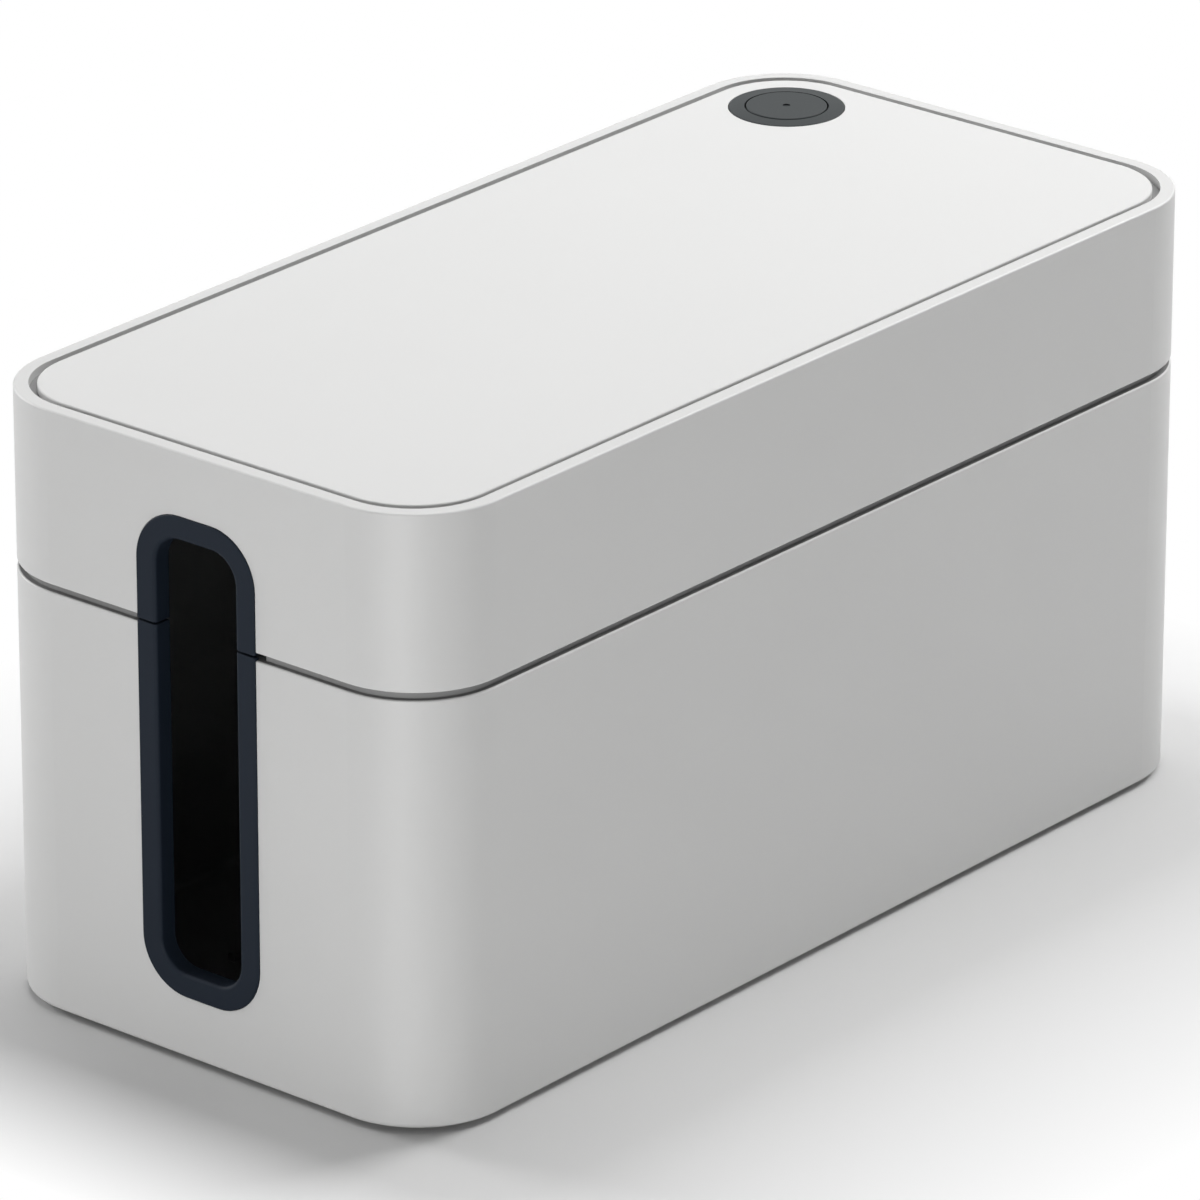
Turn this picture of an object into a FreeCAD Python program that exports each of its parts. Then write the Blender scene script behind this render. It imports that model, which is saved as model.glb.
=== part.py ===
import FreeCAD
import Part
import math
import os
from FreeCAD import Vector

# A closed desk box that hides a power strip and its cables. X runs along its long side, Y across it and Z up.
# The origin is on the table, under the middle of the box. All lengths are in millimetres.

# Overall size, and how the height is shared between the tub and the lift-off lid
box_length = 246.0
box_width = 116.0
box_height = 128.0
corner_radius = 20.0
lid_height = 36.25
seam_gap = 1.55
wall = 2.6

# Tub
tub_lift = 1.0
floor_thickness = 2.6
tub_base_round = 1.2
seam_edge_round = 0.4
tongue_height = 5.0
tongue_thickness = 1.2
tongue_clearance = 0.25
tongue_lead_in = 0.4
slot_land = 1.0
tongue_end_gap = 0.5
rail_height = 1.6
rail_width = 1.8
rail_length = 176.0
rail_offset = 24.0
inner_corner_round = 2.0

# Lid
rim_width = 3.0
rim_round = 0.45
groove_width = 1.3
lid_plate = 2.4
lid_rib_height = 3.0
lid_rib_width = 1.4
lid_rib_pitch = 41.0
lid_rib_rows = 2
lid_rib_offset = 19.0

# Pale mat that lies in the top of the lid, and the adhesive film under it
mat_thickness = 1.5
film_thickness = 0.2
film_inset = 4.0
mat_edge_round = 0.3

# Tall cable slot in each end wall, and the soft trim that lines it
slot_width = 30.2
slot_margin = 13.2
slot_radius = 11.0
trim_face = 4.9
trim_web = 1.6
trim_proud = 0.3
trim_rebate = 0.8
trim_lip = 1.1
trim_lip_reach = 3.9
trim_clearance = 0.1
trim_face_round = 0.35
trim_mouth_round = 0.7
trim_seam_gap = 0.4

# Round cable outlet in one corner of the lid, with its pull-out cap
outlet_inset = 21.0
outlet_flange_radius = 12.1
outlet_flange_proud = 0.3
outlet_flange_fall = 0.2
outlet_flange_round = 0.3
outlet_barrel_radius = 10.4
outlet_bore_radius = 7.9
outlet_seat_radius = 8.8
outlet_seat_depth = 1.2
outlet_barrel_drop = 3.4
outlet_clearance = 0.12
snap_bead = 0.5
snap_bead_height = 1.1
snap_slit_width = 1.6
snap_slit_count = 4
outlet_rib_gap = 1.8
cap_edge_gap = 0.35
cap_proud = 0.4
cap_edge_round = 0.25
cap_fit = 0.12
cap_skirt_length = 6.4
cap_skirt_wall = 1.2
cap_skirt_lead_in = 0.4
cap_dimple_radius = 0.8
cap_dimple_depth = 0.25

# Push-in rubber feet
foot_inset = 20.0
foot_radius = 8.0
foot_pocket_depth = 1.0
foot_pocket_clearance = 0.15
foot_round = 0.5
foot_groove_radius = 5.2
foot_groove_width = 1.0
foot_groove_depth = 0.4
foot_stem_radius = 2.0
foot_stem_clearance = 0.1
foot_head_radius = 3.1
foot_head_height = 2.6
foot_head_tip_radius = 1.2
foot_boss_radius = 5.0
foot_boss_height = 1.0

# How far a cut runs past the material that it cuts, and the share of it within which an edge lies on a plane
overrun = 5.0
on_plane_share = 1e-4

# Heights that follow from the sizes above
tub_low = tub_lift
floor_top = tub_low + floor_thickness
lid_low = box_height - lid_height
tub_high = lid_low - seam_gap
tongue_top = tub_high + tongue_height
mat_seat = box_height - mat_thickness - film_thickness
lid_ceiling = mat_seat - lid_plate
slot_low = tub_low + slot_margin
slot_high = box_height - slot_margin
outlet_x = box_length / 2 - outlet_inset
outlet_y = box_width / 2 - outlet_inset
on_plane = overrun * on_plane_share
up = Vector(0, 0, 1)


def rounded_outline(length, width, radius):
    """Closed wire of a rounded rectangle about the origin, in the plane of its length and width."""
    half_length = length / 2
    half_width = width / 2
    diagonal = radius * (1 - math.sqrt(0.5))
    edges = []
    for turn in range(4):
        along, across = (half_length, half_width) if turn % 2 == 0 else (half_width, half_length)
        start = Vector(along, -across + radius, 0)
        end = Vector(along, across - radius, 0)
        middle = Vector(along - diagonal, across - diagonal, 0)
        arc_end = Vector(along - radius, across, 0)
        side = [Part.LineSegment(start, end).toShape(), Part.Arc(end, middle, arc_end).toShape()]
        for edge in side:
            edge.rotate(Vector(0, 0, 0), up, 90 * turn)
            edges.append(edge)
    return Part.Wire(Part.__sortEdges__(edges))


def upright_block(inset, z_low, z_high):
    """Solid with the box's own rounded outline, drawn in by inset, between two heights."""
    wire = rounded_outline(box_length - 2 * inset, box_width - 2 * inset, corner_radius - inset)
    face = Part.Face(wire)
    face.translate(Vector(0, 0, z_low))
    return face.extrude(Vector(0, 0, z_high - z_low))


def slot_block(inset, x_low, x_high):
    """Solid with the slot's outline, drawn in by inset, between two places along X."""
    tall = slot_high - slot_low - 2 * inset
    wire = rounded_outline(tall, slot_width - 2 * inset, slot_radius - inset)
    face = Part.Face(wire)
    face.rotate(Vector(0, 0, 0), Vector(0, 1, 0), 90)
    face.translate(Vector(x_low, 0, (slot_low + slot_high) / 2))
    return face.extrude(Vector(x_high - x_low, 0, 0))


def disc(radius, z_low, z_high, x=0.0, y=0.0):
    """Upright cylinder between two heights."""
    return Part.makeCylinder(radius, z_high - z_low, Vector(x, y, z_low))


def plain_block(x_low, x_high, y_low, y_high, z_low, z_high):
    """Rectangular block between two corners."""
    return Part.makeBox(x_high - x_low, y_high - y_low, z_high - z_low, Vector(x_low, y_low, z_low))


def edges_at_height(solid, z):
    """Edges of a solid that lie in the level plane at z."""
    return [e for e in solid.Edges if max(abs(e.BoundBox.ZMin - z), abs(e.BoundBox.ZMax - z)) < on_plane]


def edges_at_x(solid, x):
    """Edges of a solid that lie in the upright plane at x."""
    return [e for e in solid.Edges if max(abs(e.BoundBox.XMin - x), abs(e.BoundBox.XMax - x)) < on_plane]


def foot_places():
    """Names and centres of the four feet."""
    reach_x = box_length / 2 - foot_inset
    reach_y = box_width / 2 - foot_inset
    return {
        "foot_front_left": (-reach_x, -reach_y),
        "foot_front_right": (reach_x, -reach_y),
        "foot_rear_left": (-reach_x, reach_y),
        "foot_rear_right": (reach_x, reach_y),
    }


def slot_cuts(shell):
    """Cuts both end walls for the slot trims: the window, and the shallow rebate for the outer flange."""
    half = box_length / 2
    window_inset = trim_face - trim_web - trim_clearance
    window = slot_block(window_inset, -half - overrun, half + overrun)
    shell = shell.cut(window)
    for side in (-1, 1):
        face_x = side * half
        rebate_x = side * (half - trim_rebate)
        outside_x = face_x + side * overrun
        rebate = slot_block(-trim_clearance, min(rebate_x, outside_x), max(rebate_x, outside_x))
        shell = shell.cut(rebate)
    return shell


def seam_ring(outer_inset, inner_inset, z_low, z_high, gap_half_width):
    """Thin wall that follows the box's outline, and is left out across both cable slots."""
    ring = upright_block(outer_inset, z_low, z_high).cut(upright_block(inner_inset, z_low, z_high))
    reach = box_length / 2 + overrun
    return ring.cut(plain_block(-reach, reach, -gap_half_width, gap_half_width, z_low, z_high))


def base_tub():
    """Lower shell: walls, floor, locating tongue, slot windows, foot pockets and two rails inside."""
    shell = upright_block(0, tub_low, tub_high)
    shell = shell.makeFillet(tub_base_round, edges_at_height(shell, tub_low))
    shell = shell.makeFillet(seam_edge_round, edges_at_height(shell, tub_high))
    hollow = upright_block(wall, floor_top, tub_high + overrun)
    hollow = hollow.makeFillet(inner_corner_round, edges_at_height(hollow, floor_top))
    shell = shell.cut(hollow)

    tongue_gap = slot_width / 2 + slot_land + tongue_end_gap
    tongue_outer = wall - tongue_thickness
    tongue = seam_ring(tongue_outer, wall, tub_high - tongue_thickness, tongue_top, tongue_gap)
    tongue = tongue.makeChamfer(tongue_lead_in, outer_top_edges(tongue, tongue_outer, tongue_top))
    shell = shell.fuse(tongue)
    shell = slot_cuts(shell)

    inside_floor = floor_top - floor_thickness / 2
    half_rail = rail_width / 2
    for side in (-1, 1):
        y = side * rail_offset
        rail = plain_block(-rail_length / 2, rail_length / 2, y - half_rail, y + half_rail,
                           inside_floor, floor_top + rail_height)
        shell = shell.fuse(rail)

    pocket_top = tub_low + foot_pocket_depth
    for x, y in foot_places().values():
        shell = shell.fuse(disc(foot_boss_radius, inside_floor, floor_top + foot_boss_height, x, y))
        shell = shell.cut(disc(foot_radius + foot_pocket_clearance, tub_low - overrun, pocket_top, x, y))
        shell = shell.cut(disc(foot_stem_radius + foot_stem_clearance, tub_low, tub_high, x, y))
    return shell.removeSplitter()


def outer_top_edges(ring, inset, z):
    """Edges of a seam wall's top that lie on its outer outline."""
    outline = upright_block(inset, z - overrun, z + overrun)
    outer_faces = [face for face in outline.Faces if face.BoundBox.ZLength > overrun]
    chosen = []
    for edge in edges_at_height(ring, z):
        middle = Part.Vertex(edge.valueAt((edge.FirstParameter + edge.LastParameter) / 2))
        if min(face.distToShape(middle)[0] for face in outer_faces) < on_plane:
            chosen.append(edge)
    return chosen


def lid_shell():
    """Upper shell: skirt, rim, mat recess, seat for the tongue, ribs, slot windows and outlet hole."""
    shell = upright_block(0, lid_low, box_height)
    shell = shell.makeFillet(rim_round, edges_at_height(shell, box_height))
    shell = shell.makeFillet(seam_edge_round, edges_at_height(shell, lid_low))
    hollow = upright_block(wall, lid_low - overrun, lid_ceiling)
    hollow = hollow.makeFillet(inner_corner_round, edges_at_height(hollow, lid_ceiling))
    shell = shell.cut(hollow)
    shell = shell.cut(upright_block(rim_width, mat_seat, box_height + overrun))

    rebate_gap = slot_width / 2 + slot_land
    rebate_inset = wall - tongue_thickness - tongue_clearance
    rebate = seam_ring(rebate_inset, wall + overrun, lid_low - overrun, tongue_top, rebate_gap)
    shell = shell.cut(rebate)

    ribs = lid_ribs().common(hollow)
    shell = shell.fuse(ribs)
    hole_radius = outlet_barrel_radius + outlet_clearance
    rib_free = disc(hole_radius + outlet_rib_gap, lid_low, lid_ceiling, outlet_x, outlet_y)
    shell = shell.cut(rib_free.common(hollow))
    shell = shell.cut(disc(hole_radius, lid_low, box_height, outlet_x, outlet_y))
    return slot_cuts(shell).removeSplitter()


def lid_ribs():
    """Stiffening ribs under the lid's plate: rows along the box, and cross ribs at an even pitch."""
    z_low = lid_ceiling - lid_rib_height
    z_high = lid_ceiling
    half_rib = lid_rib_width / 2
    half_length = box_length / 2
    half_width = box_width / 2
    ribs = []
    for side in (-1, 1):
        y = side * lid_rib_offset
        ribs.append(plain_block(-half_length, half_length, y - half_rib, y + half_rib, z_low, z_high))
    for row in range(-lid_rib_rows, lid_rib_rows + 1):
        x = row * lid_rib_pitch
        ribs.append(plain_block(x - half_rib, x + half_rib, -half_width, half_width, z_low, z_high))
    return ribs[0].multiFuse(ribs[1:])


def lid_mat():
    """Thin soft mat that fills the recess but for a narrow groove, with a hole for the outlet's flange."""
    inset = rim_width + groove_width
    mat = upright_block(inset, mat_seat + film_thickness, box_height)
    mat = mat.makeFillet(mat_edge_round, edges_at_height(mat, box_height))
    hole_radius = outlet_flange_radius + outlet_clearance
    return mat.cut(disc(hole_radius, mat_seat, box_height + overrun, outlet_x, outlet_y))


def mat_adhesive_film():
    """Adhesive film that holds the mat down, drawn in from the mat's edge."""
    inset = rim_width + groove_width + film_inset
    film = upright_block(inset, mat_seat, mat_seat + film_thickness)
    return film.cut(disc(outlet_flange_radius + film_inset, mat_seat, box_height, outlet_x, outlet_y))


def end_trim(z_low, z_high):
    """Part of the soft channel that grips the edge of the left end's window, between two heights."""
    half = box_length / 2
    outer_x = -half - trim_proud
    rebate_x = -half + trim_rebate
    inner_x = -half + wall
    lip_x = inner_x + trim_lip
    flange = slot_block(0, outer_x, rebate_x)
    flange = flange.makeFillet(trim_face_round, edges_at_x(flange, outer_x))
    web = slot_block(trim_face - trim_web, rebate_x, inner_x + trim_clearance)
    lip = slot_block(trim_face - trim_lip_reach, inner_x + trim_clearance, lip_x)
    lip = lip.makeFillet(trim_face_round, edges_at_x(lip, lip_x))
    mouth = slot_block(trim_face, outer_x - overrun, lip_x + overrun)
    ring = flange.multiFuse([web, lip]).cut(mouth)
    ring = ring.makeFillet(trim_mouth_round, mouth_edges(ring, outer_x))
    span = plain_block(outer_x - overrun, lip_x + overrun, -slot_width, slot_width, z_low, z_high)
    return ring.common(span)


def mouth_edges(ring, x):
    """Edges of the trim's front that run round its clear opening."""
    opening_width = slot_width - 2 * trim_face
    opening_height = slot_high - slot_low - 2 * trim_face
    centre_z = (slot_low + slot_high) / 2
    chosen = []
    for edge in edges_at_x(ring, x):
        box = edge.BoundBox
        reach_y = max(abs(box.YMin), abs(box.YMax))
        reach_z = max(abs(box.ZMin - centre_z), abs(box.ZMax - centre_z))
        if reach_y < opening_width / 2 + on_plane and reach_z < opening_height / 2 + on_plane:
            chosen.append(edge)
    return chosen


def to_right_end(solid):
    """Copy of a left-end piece, turned half a turn to the right end."""
    turned = solid.copy()
    turned.rotate(Vector(0, 0, 0), up, 180)
    return turned


def outlet_ring():
    """Sleeve that snaps into the lid's hole: flange that falls a little outwards, and a seat for the cap."""
    flange_top = box_height + outlet_flange_proud
    flange_edge = flange_top - outlet_flange_fall
    barrel_low = lid_ceiling - outlet_barrel_drop
    flange = disc(outlet_flange_radius, mat_seat, flange_edge, outlet_x, outlet_y)
    crown = Part.makeCone(outlet_flange_radius, outlet_seat_radius, outlet_flange_fall,
                          Vector(outlet_x, outlet_y, flange_edge))
    flange = flange.fuse(crown)
    flange = flange.makeFillet(outlet_flange_round, edges_at_height(flange, flange_edge))
    barrel = disc(outlet_barrel_radius, barrel_low, mat_seat, outlet_x, outlet_y)
    bead_top = lid_ceiling - outlet_clearance
    bead = Part.makeCone(outlet_barrel_radius, outlet_barrel_radius + snap_bead, snap_bead_height,
                         Vector(outlet_x, outlet_y, bead_top - snap_bead_height))
    ring = flange.multiFuse([barrel, bead])
    ring = ring.cut(disc(outlet_bore_radius, barrel_low, flange_top, outlet_x, outlet_y))
    seat_low = flange_top - outlet_seat_depth
    ring = ring.cut(disc(outlet_seat_radius, seat_low, flange_top, outlet_x, outlet_y))
    reach = outlet_barrel_radius + snap_bead + overrun
    half_slit = snap_slit_width / 2
    for turn in range(snap_slit_count):
        slit = plain_block(0, reach, -half_slit, half_slit, barrel_low - overrun, bead_top)
        slit.rotate(Vector(0, 0, 0), up, turn * 360 / snap_slit_count)
        slit.translate(Vector(outlet_x, outlet_y, 0))
        ring = ring.cut(slit)
    return ring.removeSplitter()


def outlet_cap():
    """Pull-out cap: a thick disc that stands a little proud, on a hollow skirt that plugs the sleeve."""
    seat_low = box_height + outlet_flange_proud - outlet_seat_depth
    top = box_height + cap_proud
    head = disc(outlet_seat_radius - cap_edge_gap, seat_low, top, outlet_x, outlet_y)
    head = head.makeFillet(cap_edge_round, edges_at_height(head, top))
    skirt_radius = outlet_bore_radius - cap_fit
    skirt_low = seat_low - cap_skirt_length
    skirt = disc(skirt_radius, skirt_low, seat_low, outlet_x, outlet_y)
    skirt = skirt.makeChamfer(cap_skirt_lead_in, edges_at_height(skirt, skirt_low))
    cap = head.fuse(skirt)
    cap = cap.cut(disc(skirt_radius - cap_skirt_wall, skirt_low, seat_low, outlet_x, outlet_y))
    dimple = disc(cap_dimple_radius, top - cap_dimple_depth, top + overrun, outlet_x, outlet_y)
    return cap.cut(dimple)


def rubber_foot(x, y):
    """Push-in foot: grooved pad in the floor's pocket, stem through the floor, and a head that holds it."""
    pocket_top = tub_low + foot_pocket_depth
    boss_top = floor_top + foot_boss_height
    pad = disc(foot_radius, 0, pocket_top, x, y)
    pad = pad.makeFillet(foot_round, edges_at_height(pad, 0))
    groove = disc(foot_groove_radius, 0, foot_groove_depth, x, y)
    groove = groove.cut(disc(foot_groove_radius - foot_groove_width, 0, foot_groove_depth, x, y))
    stem = disc(foot_stem_radius, pocket_top, boss_top, x, y)
    head = Part.makeCone(foot_head_radius, foot_head_tip_radius, foot_head_height, Vector(x, y, boss_top))
    return pad.cut(groove).multiFuse([stem, head]).removeSplitter()


def pieces():
    """Every piece of the box by name."""
    seam_middle = (tub_high + lid_low) / 2
    lower_trim = end_trim(slot_low, seam_middle - trim_seam_gap / 2)
    upper_trim = end_trim(seam_middle + trim_seam_gap / 2, slot_high)
    made = {
        "base_tub": base_tub(),
        "lid_shell": lid_shell(),
        "lid_mat": lid_mat(),
        "mat_adhesive_film": mat_adhesive_film(),
        "outlet_ring": outlet_ring(),
        "outlet_cap": outlet_cap(),
        "left_end_trim_lower": lower_trim,
        "left_end_trim_upper": upper_trim,
        "right_end_trim_lower": to_right_end(lower_trim),
        "right_end_trim_upper": to_right_end(upper_trim),
    }
    for name, (x, y) in foot_places().items():
        made[name] = rubber_foot(x, y)
    return made


os.makedirs("parts", exist_ok=True)
for name, shape in pieces().items():
    shape.exportStep(f"parts/{name}.step")
    print(f"{name}: {len(shape.Solids)} solid, valid {shape.isValid()}, {shape.Volume:.1f} cubic millimetres")
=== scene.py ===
import math

import bmesh
import bpy
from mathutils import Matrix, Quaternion, Vector


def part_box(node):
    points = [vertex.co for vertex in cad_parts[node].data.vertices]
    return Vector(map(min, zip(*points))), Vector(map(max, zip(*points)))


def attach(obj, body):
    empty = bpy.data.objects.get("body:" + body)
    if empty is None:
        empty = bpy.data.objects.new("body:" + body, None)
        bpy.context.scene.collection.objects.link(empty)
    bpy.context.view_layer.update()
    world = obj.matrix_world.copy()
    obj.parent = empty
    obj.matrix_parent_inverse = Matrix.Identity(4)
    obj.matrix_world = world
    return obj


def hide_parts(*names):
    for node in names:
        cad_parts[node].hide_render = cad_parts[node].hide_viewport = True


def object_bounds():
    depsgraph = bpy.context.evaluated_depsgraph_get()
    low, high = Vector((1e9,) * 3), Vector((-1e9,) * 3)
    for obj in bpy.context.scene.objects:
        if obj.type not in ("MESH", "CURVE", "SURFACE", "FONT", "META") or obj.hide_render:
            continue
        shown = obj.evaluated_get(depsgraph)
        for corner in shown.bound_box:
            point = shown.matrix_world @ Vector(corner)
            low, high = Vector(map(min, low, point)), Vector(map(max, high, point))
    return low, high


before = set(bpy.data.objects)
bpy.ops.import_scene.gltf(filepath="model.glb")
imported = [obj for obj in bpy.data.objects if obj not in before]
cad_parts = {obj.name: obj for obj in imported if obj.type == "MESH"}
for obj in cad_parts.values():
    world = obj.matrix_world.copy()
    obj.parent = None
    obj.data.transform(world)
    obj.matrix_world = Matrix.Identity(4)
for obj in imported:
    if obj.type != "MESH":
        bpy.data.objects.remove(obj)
cad_low, cad_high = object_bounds()

# The looks of a closed desk box for a power strip. Lengths are in metres, angles in degrees.
X, Y, Z = 0, 1, 2
touch = 1e-6
ring_tolerance = 1e-5
weld_overlap = 1e-5
overrun = 0.005
parallel_angle = 1
sharp_angle = 25
round_profile = 0.5

# Sizes of the soft mat in the lid's top
mat_corner_radius = 0.0166
mat_edge_round = 0.0004
mat_hole_gap = 0.00012
corner_steps = 32
edge_steps = 4
turn_steps = 128

# Sizes of the soft trims round the cable slots
slot_radius = 0.011
trim_face_width = 0.0049
trim_web_inset = 0.0033
trim_lip_inset = 0.001
trim_flange_depth = 0.0011
trim_proud = 0.0003
trim_lip_depth = 0.0012
trim_outer_round = 0.00035
trim_mouth_round = 0.0008
trim_end_round = 0.0002
slot_steps = 24

# Sizes of a push-in rubber foot
foot_pad_height = 0.002
foot_pad_round = 0.0005
foot_groove_radius = 0.0052
foot_groove_width = 0.001
foot_groove_depth = 0.0004
foot_stem_radius = 0.002
foot_stem_height = 0.0046
foot_head_radius = 0.0031
foot_tip_radius = 0.0012
foot_edge_round = 0.00012
foot_steps = 96

# Where the shells' outside ends, seen from their outline and from the top of the lid. Faces further in and
# lower than that top get a dark grey as painted shade: the box's inside, the seam's tongue and the floor
# of the mat's groove.
outside_depth = 0.0006
top_depth = 0.0014
bottom_height = 0.0023
shell_corner_radius = 0.02

# Camera, as in the photograph
camera_azimuth = -50.214
camera_elevation = 22.645
camera_roll = 0.077
camera_place = Vector((-1.3537, -1.12491, 0.79364))
camera_lens = 284.74
camera_sensor = 36.0
camera_reach = 24.0

# Floor and light. Further from the box the floor glows white as painted light, rising between two
# distances from the box and so ending the box's shadow there; what lies beyond the box's ends is counted
# with a stretch.
world_strength = 0.01
backdrop_strength = 1.0
floor_size = 12.0
painted_glow_start = 0.026
painted_glow_end = 0.11
painted_glow_stretch = 1.9
floor_colour = (0.8, 0.8, 0.8)
floor_colour_seen = (0.7, 0.7, 0.7)
floor_roughness = 0.9

# Lamps. Azimuth and elevation are seen from the box, a size is width and height, and power is in watts.
lamps = {
    "ceiling": {"azimuth": 0, "elevation": 89, "distance": 1.8, "size": (1.0, 1.0), "power": 3.7},
    "back": {"azimuth": 130, "elevation": 76, "distance": 1.8, "size": (1.2, 1.2), "power": 14.8},
    "key": {"azimuth": -66, "elevation": 3, "distance": 1.1, "size": (0.12, 0.2), "power": 4.15},
    "side": {"azimuth": 75, "elevation": 40, "distance": 1.3, "size": (0.4, 0.52), "power": 10.4},
    "left_edge": {"azimuth": -170, "elevation": 20, "distance": 2.0, "size": (0.5, 0.7), "power": 17.0},
}

# Grain of moulded surfaces: a cloud is so many grains wide, and the details are the steps of the noise.
grains_per_cloud = 60
cloud_detail = 2
grain_detail = 4


def select_only(piece):
    """Makes one object the only selected and active one."""
    bpy.ops.object.select_all(action="DESELECT")
    piece.select_set(True)
    bpy.context.view_layer.objects.active = piece


def edit_chosen(piece, kind, test):
    """Opens a piece for editing, with only those of its edges or faces selected that pass a test."""
    select_only(piece)
    bpy.ops.object.mode_set(mode="EDIT")
    bpy.ops.mesh.select_mode(type=kind)
    bpy.ops.mesh.select_all(action="DESELECT")
    mesh = bmesh.from_edit_mesh(piece.data)
    for part in mesh.edges if kind == "EDGE" else mesh.faces:
        if test(part):
            part.select_set(True)
    mesh.select_flush_mode()
    bmesh.update_edit_mesh(piece.data)


def close_edit():
    """Leaves edit mode."""
    bpy.ops.object.mode_set(mode="OBJECT")


def runs_along(edge, axis):
    """Whether an edge runs along an axis."""
    way = edge.verts[1].co - edge.verts[0].co
    return abs(way[axis]) > way.length * math.cos(math.radians(parallel_angle))


def lies_at(part, axis, place):
    """Whether every corner of an edge or face is at one place along an axis."""
    return all(abs(corner.co[axis] - place) < touch for corner in part.verts)


def is_sharp(edge):
    """Whether two faces meet at an edge in a clear angle."""
    return len(edge.link_faces) == 2 and edge.calc_face_angle() > math.radians(sharp_angle)


def round_edges(piece, test, radius, steps):
    """Rounds the edges of a piece that pass a test."""
    edit_chosen(piece, "EDGE", test)
    bpy.ops.mesh.bevel(offset=radius, offset_type="OFFSET", segments=steps, profile=round_profile,
                       affect="EDGES")
    close_edit()


def block(name, low, high):
    """Block between two corners, with its place in its mesh."""
    low, high = Vector(low), Vector(high)
    bpy.ops.object.select_all(action="DESELECT")
    bpy.ops.mesh.primitive_cube_add(size=1, location=(low + high) / 2)
    piece = bpy.context.object
    piece.name = name
    piece.scale = high - low
    bpy.ops.object.transform_apply(location=True, rotation=True, scale=True)
    return piece


def rounded_block(name, low, high, axis, radius, steps):
    """Block whose four edges along one axis are rounded."""
    piece = block(name, low, high)
    round_edges(piece, lambda edge: runs_along(edge, axis), radius, steps)
    return piece


def apply_modifier(piece, modifier):
    """Applies a modifier to its piece."""
    select_only(piece)
    bpy.ops.object.modifier_apply(modifier=modifier.name)


def combine(piece, tool, operation):
    """Cuts a tool shape away from a piece, or adds it, and uses the tool up."""
    modifier = piece.modifiers.new(operation.lower(), "BOOLEAN")
    modifier.operation = operation
    modifier.solver = "EXACT"
    modifier.object = tool
    apply_modifier(piece, modifier)
    bpy.data.objects.remove(tool)


def smooth_shading(piece):
    """Shades the rounded edges smoothly and keeps the flat faces flat."""
    select_only(piece)
    bpy.ops.object.shade_smooth_by_angle(angle=math.radians(sharp_angle))
    modifier = piece.modifiers.new("even_normals", "WEIGHTED_NORMAL")
    modifier.keep_sharp = True
    apply_modifier(piece, modifier)


def copy_of(piece, name):
    """Copy of a piece with its own mesh."""
    double = piece.copy()
    double.data = piece.data.copy()
    double.name = name
    bpy.context.scene.collection.objects.link(double)
    return double


def principled(name, colour, roughness):
    """New material with a shader of one colour, and the parts that its patterns join on to."""
    material = bpy.data.materials.new(name)
    material.use_nodes = True
    tree = material.node_tree
    shader = tree.nodes["Principled BSDF"]
    shader.inputs["Base Color"].default_value = (*colour, 1)
    shader.inputs["Roughness"].default_value = roughness
    place = tree.nodes.new("ShaderNodeTexCoord")
    return material, tree, shader, place.outputs["Object"]


def noise(tree, place, size, detail):
    """Soft noise whose patches have a given size."""
    node = tree.nodes.new("ShaderNodeTexNoise")
    node.inputs["Scale"].default_value = 1 / size
    node.inputs["Detail"].default_value = detail
    tree.links.new(place, node.inputs["Vector"])
    return node.outputs["Fac"]


def vary_colour(tree, shader, pattern, dark, light):
    """Lets the base colour run between two shades along a pattern."""
    ramp = tree.nodes.new("ShaderNodeMix")
    ramp.data_type = "RGBA"
    ramp.inputs["A"].default_value = (*dark, 1)
    ramp.inputs["B"].default_value = (*light, 1)
    tree.links.new(pattern, ramp.inputs["Factor"])
    tree.links.new(ramp.outputs["Result"], shader.inputs["Base Color"])


def spanned(tree, pattern, low, high):
    """Node that lets a number run between two values along a pattern."""
    span = tree.nodes.new("ShaderNodeMapRange")
    span.inputs["To Min"].default_value = low
    span.inputs["To Max"].default_value = high
    tree.links.new(pattern, span.inputs["Value"])
    return span


def vary_roughness(tree, shader, pattern, low, high):
    """Lets the roughness run between two values along a pattern."""
    span = spanned(tree, pattern, low, high)
    tree.links.new(span.outputs["Result"], shader.inputs["Roughness"])


def add_bumps(tree, shader, pattern, depth):
    """Raises a pattern by a depth."""
    bump = tree.nodes.new("ShaderNodeBump")
    bump.inputs["Distance"].default_value = depth
    tree.links.new(pattern, bump.inputs["Height"])
    tree.links.new(bump.outputs["Normal"], shader.inputs["Normal"])


def shades(colour, spread):
    """A darker and a lighter shade of a colour."""
    return [share * (1 - spread) for share in colour], [share * (1 + spread) for share in colour]


def moulded(name, colour, colour_spread, roughness, roughness_spread, grain_size, grain_depth, specular):
    """Moulded surface: fine grain, and slight cloudiness in colour and gloss."""
    material, tree, shader, place = principled(name, colour, roughness)
    shader.inputs["Specular IOR Level"].default_value = specular
    clouds = noise(tree, place, grain_size * grains_per_cloud, cloud_detail)
    grain = noise(tree, place, grain_size, grain_detail)
    vary_colour(tree, shader, clouds, *shades(colour, colour_spread))
    vary_roughness(tree, shader, grain, roughness - roughness_spread, roughness + roughness_spread)
    add_bumps(tree, shader, grain, grain_depth)
    return material


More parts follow.
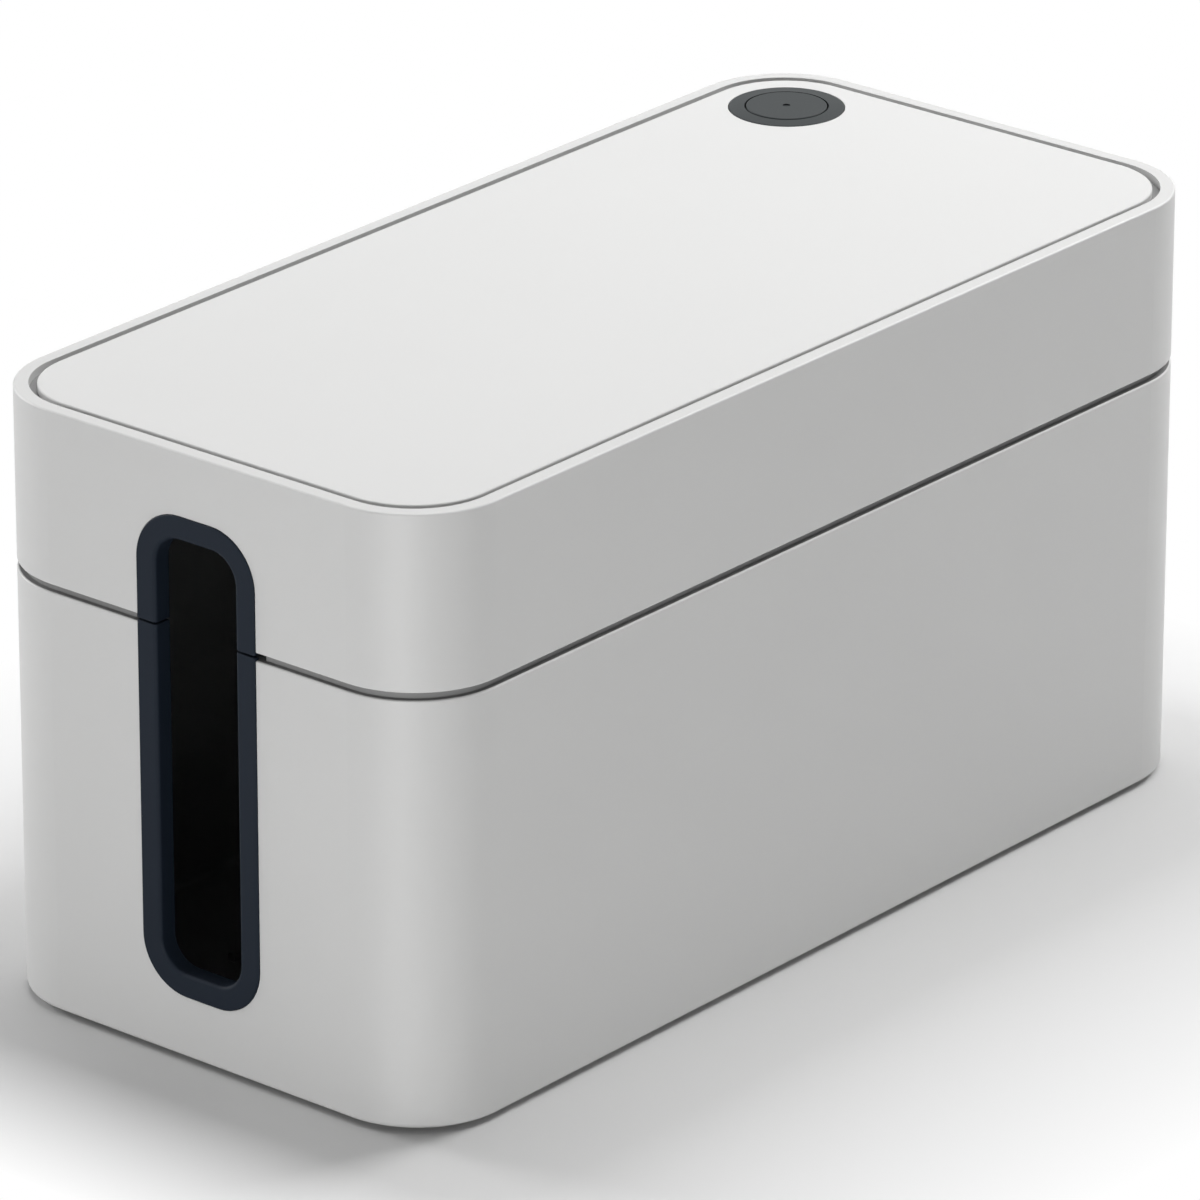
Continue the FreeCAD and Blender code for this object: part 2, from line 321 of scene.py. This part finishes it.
shell_plastic = moulded("shell_plastic", (0.65, 0.65, 0.645), colour_spread=0.012, roughness=0.47,
                        roughness_spread=0.04, grain_size=0.0005, grain_depth=0.000008, specular=1.0)
# Dark grey that paints shade on the shells' inside faces, the seam's tongue and the floor of the mat's
# groove.
shell_painted_shade = moulded("shell_painted_shade", (0.28, 0.28, 0.28), colour_spread=0.02, roughness=0.6,
                       roughness_spread=0.05, grain_size=0.0006, grain_depth=0.00001, specular=0.5)
mat_rubber = moulded("mat_rubber", (0.71, 0.71, 0.705), colour_spread=0.01, roughness=0.55,
                     roughness_spread=0.05, grain_size=0.0007, grain_depth=0.00001, specular=0.5)
film = moulded("adhesive_film", (0.75, 0.73, 0.66), colour_spread=0.02, roughness=0.5,
               roughness_spread=0.05, grain_size=0.001, grain_depth=0.00001, specular=0.5)
trim_rubber = moulded("trim_rubber", (0.0085, 0.0135, 0.0225), colour_spread=0.05, roughness=0.6,
                      roughness_spread=0.05, grain_size=0.0004, grain_depth=0.000008, specular=0.15)
outlet_plastic = moulded("outlet_plastic", (0.029, 0.034, 0.036), colour_spread=0.04, roughness=0.45,
                         roughness_spread=0.05, grain_size=0.0004, grain_depth=0.000006, specular=0.15)
foot_rubber = moulded("foot_rubber", (0.03, 0.031, 0.033), colour_spread=0.05, roughness=0.6,
                      roughness_spread=0.05, grain_size=0.0005, grain_depth=0.00001, specular=0.4)


def dress(piece, *materials):
    """Gives a piece its materials."""
    piece.data.materials.clear()
    for material in materials:
        piece.data.materials.append(material)


def depth_in_outline(place):
    """How far a place lies inside the box's rounded outline, seen from above."""
    straight_x = cad_high.x - trim_proud - shell_corner_radius
    straight_y = cad_high.y - shell_corner_radius
    over_x = abs(place.x) - straight_x
    over_y = abs(place.y) - straight_y
    beyond = math.hypot(max(over_x, 0), max(over_y, 0)) + min(max(over_x, over_y), 0)
    return shell_corner_radius - beyond


def dress_shell(node):
    """Satin outside for a moulded shell; its inside faces, the seam's tongue and the groove's floor get a
    dark grey as painted shade.
    """
    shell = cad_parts[node]
    dress(shell, shell_plastic, shell_painted_shade)
    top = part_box("lid_shell")[1].z - top_depth
    for face in shell.data.polygons:
        outside = depth_in_outline(face.center) < outside_depth or not bottom_height < face.center.z < top
        face.material_index = 0 if outside else 1


def place_piece(piece, body, slot, material, *nodes):
    """Finishes a new piece: shading, material, the body it rides on and the nodes it stands for."""
    smooth_shading(piece)
    dress(piece, material)
    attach(piece, body)
    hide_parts(*nodes)


for node in ("base_tub", "lid_shell"):
    dress_shell(node)
dress(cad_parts["mat_adhesive_film"], film)
for node in ("outlet_ring", "outlet_cap"):
    dress(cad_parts[node], outlet_plastic)


def lid_mat():
    """Soft mat: rounded sheet with a softened edge, and a hole for the outlet's flange."""
    low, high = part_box("lid_mat")
    mat = rounded_block("mat", low, high, Z, mat_corner_radius, corner_steps)
    round_edges(mat, lambda edge: lies_at(edge, Z, high.z), mat_edge_round, edge_steps)
    ring_low, ring_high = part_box("outlet_ring")
    middle = (ring_low + ring_high) / 2
    radius = (ring_high.x - ring_low.x) / 2 + mat_hole_gap
    bpy.ops.object.select_all(action="DESELECT")
    bpy.ops.mesh.primitive_cylinder_add(vertices=turn_steps, radius=radius, depth=overrun * 2,
                                        location=(middle.x, middle.y, high.z))
    combine(mat, bpy.context.object, "DIFFERENCE")
    place_piece(mat, "lid", "mat", mat_rubber, "lid_mat")


def slot_slab(name, inset, x_low, x_high):
    """Slab with the slot's rounded outline, drawn in by an inset, between two places along X."""
    low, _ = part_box("left_end_trim_lower")
    _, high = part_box("left_end_trim_upper")
    near = (x_low, low.y + inset, low.z + inset)
    far = (x_high, high.y - inset, high.z - inset)
    return rounded_block(name, near, far, X, slot_radius - inset, slot_steps)


def slot_ring():
    """Whole ring of soft channel at the left slot: flange outside, web through the wall, lip inside."""
    low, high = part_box("left_end_trim_lower")
    flange_x = low.x + trim_flange_depth
    lip_x = high.x - trim_lip_depth
    ring = slot_slab("slot_ring", 0, low.x, flange_x)
    round_edges(ring, lambda edge: lies_at(edge, X, low.x), trim_outer_round, edge_steps)
    web = slot_slab("slot_web", trim_web_inset, flange_x - weld_overlap, lip_x + weld_overlap)
    combine(ring, web, "UNION")
    lip = slot_slab("slot_lip", trim_lip_inset, lip_x, high.x)
    round_edges(lip, lambda edge: lies_at(edge, X, high.x), trim_outer_round, edge_steps)
    combine(ring, lip, "UNION")
    mouth = slot_slab("slot_mouth", trim_face_width, low.x - overrun, high.x + overrun)
    combine(ring, mouth, "DIFFERENCE")
    reach_y = high.y - trim_face_width + touch
    round_edges(ring, lambda edge: lies_at(edge, X, low.x) and is_sharp(edge)
                and all(abs(corner.co.y) < reach_y for corner in edge.verts), trim_mouth_round, edge_steps)
    return ring


def trim_half(ring, name, end, part, z, keep_above):
    """The part of a slot ring that one shell carries, cut off at the seam."""
    half = copy_of(ring, name)
    if end == "right":
        select_only(half)
        bpy.ops.transform.rotate(value=math.pi, orient_axis="Z", center_override=(0, 0, 0))
        bpy.ops.object.transform_apply(location=True, rotation=True, scale=True)
    edit_chosen(half, "FACE", lambda face: True)
    bpy.ops.mesh.bisect(plane_co=(0, 0, z), plane_no=(0, 0, 1), use_fill=True,
                        clear_inner=keep_above, clear_outer=not keep_above)
    close_edit()
    round_edges(half, lambda edge: lies_at(edge, Z, z) and is_sharp(edge), trim_end_round, edge_steps)
    body = "lid" if keep_above else "base"
    place_piece(half, body, "trim", trim_rubber, f"{end}_end_trim_{part}")


def slot_trims():
    """Four trims: one ring, copied to both ends and cut at the seam."""
    ring = slot_ring()
    tub_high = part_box("left_end_trim_lower")[1].z
    lid_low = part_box("left_end_trim_upper")[0].z
    for end in ("left", "right"):
        trim_half(ring, f"{end}_trim_lower", end, "lower", tub_high, False)
        trim_half(ring, f"{end}_trim_upper", end, "upper", lid_low, True)
    bpy.data.objects.remove(ring)


def turned(name, profile, steps):
    """Solid of revolution about Z: a filled disc, drawn out ring by ring along radii and heights."""
    radius, height = profile[0]
    bpy.ops.object.select_all(action="DESELECT")
    bpy.ops.mesh.primitive_circle_add(vertices=steps, radius=radius, fill_type="NGON",
                                      location=(0, 0, height))
    piece = bpy.context.object
    piece.name = name
    bpy.ops.object.transform_apply(location=True, rotation=True, scale=True)
    bpy.ops.object.mode_set(mode="EDIT")
    bpy.ops.mesh.select_mode(type="EDGE")
    bpy.ops.mesh.select_all(action="SELECT")
    for next_radius, next_height in profile[1:]:
        bpy.ops.mesh.extrude_edges_move(TRANSFORM_OT_translate={"value": (0, 0, next_height - height)})
        share = next_radius / radius
        bpy.ops.transform.resize(value=(share, share, 1), center_override=(0, 0, next_height))
        radius, height = next_radius, next_height
    bpy.ops.mesh.edge_face_add()
    bpy.ops.mesh.select_all(action="SELECT")
    bpy.ops.mesh.normals_make_consistent(inside=False)
    close_edit()
    return piece


def ring_at(edge, radius, height):
    """Whether an edge is part of a ring about Z of one radius and height."""
    ends = [math.hypot(corner.co.x, corner.co.y) for corner in edge.verts]
    return lies_at(edge, Z, height) and all(abs(end - radius) < ring_tolerance for end in ends)


def rubber_feet():
    """Four push-in feet: one turned foot, copied to each place."""
    low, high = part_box("foot_front_left")
    pad_radius = (high.x - low.x) / 2
    groove_inside = foot_groove_radius - foot_groove_width
    profile = [
        (groove_inside, low.z),
        (groove_inside, foot_groove_depth),
        (foot_groove_radius, foot_groove_depth),
        (foot_groove_radius, low.z),
        (pad_radius, low.z),
        (pad_radius, foot_pad_height),
        (foot_stem_radius, foot_pad_height),
        (foot_stem_radius, foot_stem_height),
        (foot_head_radius, foot_stem_height),
        (foot_tip_radius, high.z),
    ]
    foot = turned("foot", profile, foot_steps)
    round_edges(foot, lambda edge: ring_at(edge, pad_radius, low.z), foot_pad_round, edge_steps)
    round_edges(foot, is_sharp, foot_edge_round, edge_steps)
    for end in ("front", "rear"):
        for side in ("left", "right"):
            node = f"foot_{end}_{side}"
            near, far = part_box(node)
            copy = copy_of(foot, f"{end}_{side}_foot")
            select_only(copy)
            copy.location = ((near.x + far.x) / 2, (near.y + far.y) / 2, 0)
            bpy.ops.object.transform_apply(location=True, rotation=True, scale=True)
            place_piece(copy, "base", "foot", foot_rubber, node)
    bpy.data.objects.remove(foot)


lid_mat()
slot_trims()
rubber_feet()


def seen_directly(tree):
    """1 for what the camera, a reflection or glass sees, and 0 for what only gives light."""
    ray = tree.nodes.new("ShaderNodeLightPath")
    seen = ray.outputs["Is Camera Ray"]
    for kind in ("Is Glossy Ray", "Is Transmission Ray"):
        either = tree.nodes.new("ShaderNodeMath")
        either.operation = "MAXIMUM"
        tree.links.new(seen, either.inputs[0])
        tree.links.new(ray.outputs[kind], either.inputs[1])
        seen = either.outputs[0]
    return seen


def distance_from_box(tree, place):
    """How far a place on the floor lies from the box's sides, counted with a stretch beyond its ends."""
    steps = (("ABSOLUTE", None), ("SUBTRACT", (cad_high.x, cad_high.y, 0)),
             ("MULTIPLY", (painted_glow_stretch, 1, 1)), ("MAXIMUM", (0, 0, 0)))
    for operation, values in steps:
        node = tree.nodes.new("ShaderNodeVectorMath")
        node.operation = operation
        tree.links.new(place, node.inputs[0])
        if values:
            node.inputs[1].default_value = values
        place = node.outputs["Vector"]
    length = tree.nodes.new("ShaderNodeVectorMath")
    length.operation = "LENGTH"
    tree.links.new(place, length.inputs[0])
    return length.outputs["Value"]


def paint_glow_round_shadow(tree, shader, seen, place):
    """Painted light: a seen surface glows white further out from the box, which ends the box's shadow
    there.
    """
    fade = spanned(tree, distance_from_box(tree, place), 0, 1)
    fade.inputs["From Min"].default_value = painted_glow_start
    fade.inputs["From Max"].default_value = painted_glow_end
    share = tree.nodes.new("ShaderNodeMath")
    share.operation = "MULTIPLY"
    tree.links.new(fade.outputs["Result"], share.inputs[0])
    tree.links.new(seen, share.inputs[1])
    glow = tree.nodes.new("ShaderNodeEmission")
    glow.inputs["Strength"].default_value = backdrop_strength
    blend = tree.nodes.new("ShaderNodeMixShader")
    tree.links.new(share.outputs[0], blend.inputs["Fac"])
    tree.links.new(shader.outputs["BSDF"], blend.inputs[1])
    tree.links.new(glow.outputs["Emission"], blend.inputs[2])
    tree.links.new(blend.outputs["Shader"], tree.nodes["Material Output"].inputs["Surface"])


def pale_floor():
    """Pale floor that keeps the box's shadow next to the box; further out a painted glow ends the shadow
    and fades into the white backdrop.
    """
    bpy.ops.object.select_all(action="DESELECT")
    bpy.ops.mesh.primitive_plane_add(size=floor_size, location=(0, 0, 0))
    floor = bpy.context.object
    floor.name = "floor"
    material, tree, shader, place = principled("floor_card", floor_colour, floor_roughness)
    shader.inputs["Specular IOR Level"].default_value = 0.0
    seen = seen_directly(tree)
    vary_colour(tree, shader, seen, floor_colour, floor_colour_seen)
    paint_glow_round_shadow(tree, shader, seen, place)
    dress(floor, material)


def direction_from(azimuth, elevation):
    """Unit vector from the box towards a lamp or camera."""
    a, e = math.radians(azimuth), math.radians(elevation)
    return Vector((math.sin(a) * math.cos(e), -math.cos(a) * math.cos(e), math.sin(e)))


def soft_light(name, azimuth, elevation, distance, size, power):
    """Softbox that faces the box from a direction."""
    data = bpy.data.lights.new(name, "AREA")
    data.shape = "RECTANGLE"
    data.size, data.size_y = size
    data.energy = power
    lamp = bpy.data.objects.new(name, data)
    back = direction_from(azimuth, elevation)
    lamp.location = back * distance + Vector((0, 0, cad_high.z / 2))
    lamp.rotation_euler = (-back).to_track_quat("-Z", "Y").to_euler()
    lamp.visible_camera = False
    bpy.context.scene.collection.objects.link(lamp)


def studio():
    """White backdrop that hardly lights the box, and lamps."""
    world = bpy.data.worlds.new("studio")
    bpy.context.scene.world = world
    world.use_nodes = True
    tree = world.node_tree
    backdrop = tree.nodes["Background"]
    backdrop.inputs["Color"].default_value = (1, 1, 1, 1)
    strength = spanned(tree, seen_directly(tree), world_strength, backdrop_strength)
    tree.links.new(strength.outputs["Result"], backdrop.inputs["Strength"])
    for name, lamp in lamps.items():
        soft_light(name, **lamp)


def photo_camera():
    """Camera at the photograph's angle."""
    data = bpy.data.cameras.new("photo_camera")
    data.lens = camera_lens
    data.sensor_width = camera_sensor
    data.clip_end = camera_reach
    camera = bpy.data.objects.new("photo_camera", data)
    back = direction_from(camera_azimuth, camera_elevation)
    camera.location = camera_place
    roll = Quaternion((0, 0, 1), math.radians(camera_roll))
    camera.rotation_euler = ((-back).to_track_quat("-Z", "Y") @ roll).to_euler()
    bpy.context.scene.collection.objects.link(camera)
    bpy.context.scene.camera = camera


pale_floor()
studio()
photo_camera()
bpy.context.scene.view_settings.view_transform = "Standard"
